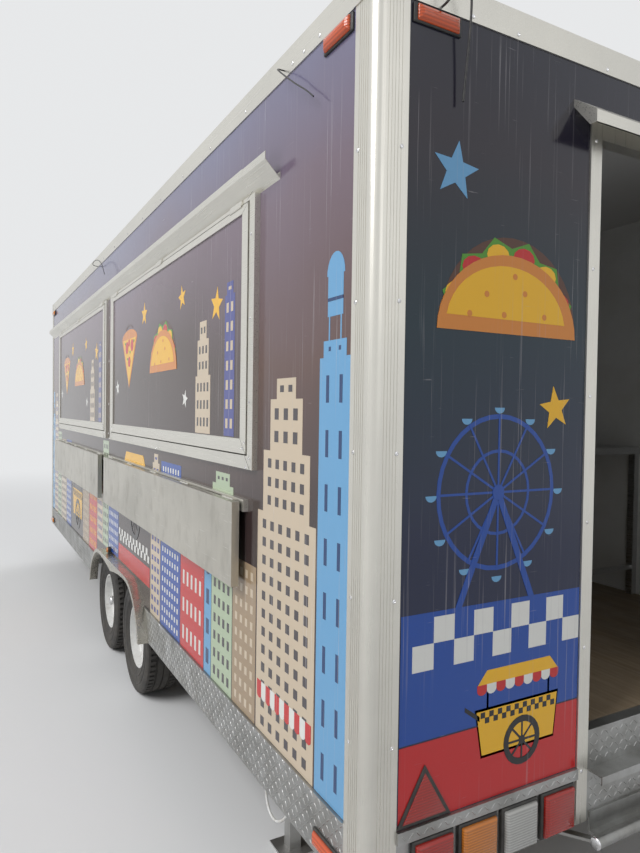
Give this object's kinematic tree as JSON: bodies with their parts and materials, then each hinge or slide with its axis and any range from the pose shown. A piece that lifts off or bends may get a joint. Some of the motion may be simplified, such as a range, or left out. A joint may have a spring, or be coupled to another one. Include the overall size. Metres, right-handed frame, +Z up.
{
  "type": "concession trailer",
  "caption": "Tandem axle food serving trailer with lifting side hatches, fold-down shelves, rear door, drawbar and jack.",
  "frame": {"origin": "on the ground, under the middle of the whole trailer from the rear hood to the coupler", "axes": "+X forwards to the coupler, +Y to the left, the serving side, +Z up"},
  "size_m": [8.198, 2.71, 3.079],
  "materials": {
    "chassis_paint": "satin black paint",
    "coupler_paint": "satin dark paint",
    "zinc_steel": "dull zinc plate",
    "floor_wood": "worn sealed plywood",
    "galvanized_sheet": "dull galvanized sheet",
    "axle_paint": "satin black paint",
    "spring_steel": "dull dark steel",
    "bright_aluminium": "smooth, scratched",
    "chequered_aluminium": "chequered plate, dusty",
    "printed_panel": "glossy printed film on sheet",
    "white_roof": "white, dusty",
    "mill_aluminium": "satin extrusion",
    "door_skin": "plain sheet",
    "red_lens": "moulded lens",
    "stainless": "brushed",
    "white_plastic": "plain",
    "printed_hatch": "aluminium sash round a glossy printed panel",
    "white_wheel": "gloss white enamel",
    "tyre_rubber": "matt black",
    "cable_sheath": "black sheath"
  },
  "bodies": {
    "trailer": {"main_rails": "chassis_paint", "crossmembers": "chassis_paint", "floor_panel": "floor_wood", "wheel_boxes": "galvanized_sheet", "drawbar": "chassis_paint", "coupler": "coupler_paint", "jacks": "zinc_steel", "axles": "axle_paint", "leaf_springs": "spring_steel", "spring_hangers": "axle_paint", "fenders": "bright_aluminium", "skirt_plates": "chequered_aluminium", "left_wall": "printed_panel", "right_wall": "printed_panel", "front_wall": "printed_panel", "rear_wall": "printed_panel", "roof": "white_roof", "corner_posts": "mill_aluminium", "roof_rails": "mill_aluminium", "hatch_frames": "mill_aluminium", "rain_gutter": "mill_aluminium", "shelf_rails": "mill_aluminium", "door_frame": "mill_aluminium", "door_cap": "mill_aluminium", "rear_step": "chequered_aluminium", "lamps": "red_lens", "worktops": "stainless", "roof_vent": "white_plastic", "drain_hose": "white_plastic", "rear_cable": "cable_sheath", "side_wire": "cable_sheath", "front_wire": "cable_sheath"},
    "serving_hatch_rear": {"serving_hatch_rear": "printed_hatch"},
    "serving_hatch_front": {"serving_hatch_front": "printed_hatch"},
    "shelf_rear": {"shelf_rear": "bright_aluminium"},
    "shelf_front": {"shelf_front": "bright_aluminium"},
    "rear_door": {"rear_door": "door_skin"},
    "vent_lid": {"vent_lid": "white_plastic"},
    "wheel_front_left": {"wheel_front_left": "white_wheel", "tyre_front_left": "tyre_rubber"},
    "wheel_rear_left": {"wheel_rear_left": "white_wheel", "tyre_rear_left": "tyre_rubber"},
    "wheel_front_right": {"wheel_front_right": "white_wheel", "tyre_front_right": "tyre_rubber"},
    "wheel_rear_right": {"wheel_rear_right": "white_wheel", "tyre_rear_right": "tyre_rubber"}
  },
  "joints": [
    {"name": "serving_hatch_rear_lift", "type": "hinge", "parent": "trailer", "child": "serving_hatch_rear", "pos_m": [-1.956, 1.321, 2.551], "axis": [1, 0, 0], "range_deg": [0, 90]},
    {"name": "shelf_rear_fold", "type": "hinge", "parent": "trailer", "child": "shelf_rear", "pos_m": [-1.891, 1.323, 1.432], "axis": [1, 0, 0], "range_deg": [0, 90]},
    {"name": "serving_hatch_front_lift", "type": "hinge", "parent": "trailer", "child": "serving_hatch_front", "pos_m": [0.794, 1.321, 2.551], "axis": [1, 0, 0], "range_deg": [0, 90]},
    {"name": "shelf_front_fold", "type": "hinge", "parent": "trailer", "child": "shelf_front", "pos_m": [0.859, 1.323, 1.432], "axis": [1, 0, 0], "range_deg": [0, 90]},
    {"name": "rear_door_swing", "type": "hinge", "parent": "trailer", "child": "rear_door", "pos_m": [-4.021, -0.412, 1.704], "axis": [0, 0, -1], "range_deg": [0, 180]},
    {"name": "vent_lid_lift", "type": "hinge", "parent": "trailer", "child": "vent_lid", "pos_m": [1.361, 0, 3.061], "axis": [0, 1, 0], "range_deg": [0, 60]},
    {"name": "wheel_front_left_roll", "type": "hinge", "parent": "trailer", "child": "wheel_front_left", "pos_m": [-0.4675, 1.1875, 0.344], "axis": [0, 1, 0], "continuous": true},
    {"name": "wheel_rear_left_roll", "type": "hinge", "parent": "trailer", "child": "wheel_rear_left", "pos_m": [-1.3205, 1.1875, 0.344], "axis": [0, 1, 0], "continuous": true},
    {"name": "wheel_front_right_roll", "type": "hinge", "parent": "trailer", "child": "wheel_front_right", "pos_m": [-0.4675, -1.1875, 0.344], "axis": [0, 1, 0], "continuous": true},
    {"name": "wheel_rear_right_roll", "type": "hinge", "parent": "trailer", "child": "wheel_rear_right", "pos_m": [-1.3205, -1.1875, 0.344], "axis": [0, 1, 0], "continuous": true}
  ]
}
